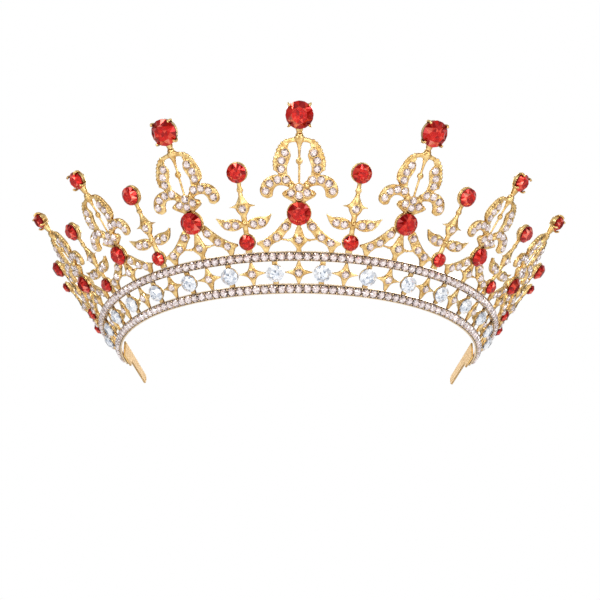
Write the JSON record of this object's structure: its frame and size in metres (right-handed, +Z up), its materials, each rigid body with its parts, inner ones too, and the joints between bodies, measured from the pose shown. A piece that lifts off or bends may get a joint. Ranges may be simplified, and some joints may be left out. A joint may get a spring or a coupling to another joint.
{
  "type": "tiara",
  "caption": "Flared open-backed crown of gilt openwork finials over a stone-set band, with red and clear faceted stones and plain end tabs for pins or ribbon.",
  "frame": {"origin": "centre of the circle that the band's inner wall follows, on the plane the lower rail stands on", "axes": "+X to the wearer's left as seen from the front, the crown's widest direction; -Y to the front; +Z up, its shortest direction"},
  "size_m": [0.2036, 0.162, 0.0494],
  "materials": {
    "gold": "polished gilt",
    "tab_gold": "plain gilt strip",
    "ruby": "faceted, foil-backed",
    "crystal": "faceted, foil-backed"
  },
  "bodies": {
    "root": {"arch_crystals": "crystal", "arch_rubies": "ruby", "arch_ruby_cups": "gold", "arches": "gold", "band_crystal_cups": "gold", "band_large_crystals": "crystal", "band_star_crystals": "crystal", "band_stars": "gold", "bud_base_cups": "gold", "bud_base_rubies": "ruby", "bud_crystals": "crystal", "bud_left_1": "gold", "bud_left_2": "gold", "bud_left_3": "gold", "bud_left_4": "gold", "bud_right_1": "gold", "bud_right_2": "gold", "bud_right_3": "gold", "bud_right_4": "gold", "bud_top_cups": "gold", "bud_top_rubies": "ruby", "end_finial_crystals": "crystal", "end_finial_cups": "gold", "end_finial_left": "gold", "end_finial_right": "gold", "end_finial_rubies": "ruby", "end_tab_left": "tab_gold", "end_tab_right": "tab_gold", "fleur_centre": "gold", "fleur_crystals_centre": "crystal", "fleur_crystals_left_1": "crystal", "fleur_crystals_left_2": "crystal", "fleur_crystals_left_3": "crystal", "fleur_crystals_right_1": "crystal", "fleur_crystals_right_2": "crystal", "fleur_crystals_right_3": "crystal", "fleur_left_1": "gold", "fleur_left_2": "gold", "fleur_left_3": "gold", "fleur_right_1": "gold", "fleur_right_2": "gold", "fleur_right_3": "gold", "lower_rail": "gold", "lower_rail_crystals": "crystal", "top_ruby_centre": "ruby", "top_ruby_left_1": "ruby", "top_ruby_left_2": "ruby", "top_ruby_left_3": "ruby", "top_ruby_right_1": "ruby", "top_ruby_right_2": "ruby", "top_ruby_right_3": "ruby", "top_setting_centre": "gold", "top_setting_left_1": "gold", "top_setting_left_2": "gold", "top_setting_left_3": "gold", "top_setting_right_1": "gold", "top_setting_right_2": "gold", "top_setting_right_3": "gold", "upper_rail": "gold", "upper_rail_crystals": "crystal"}
  },
  "joints": []
}
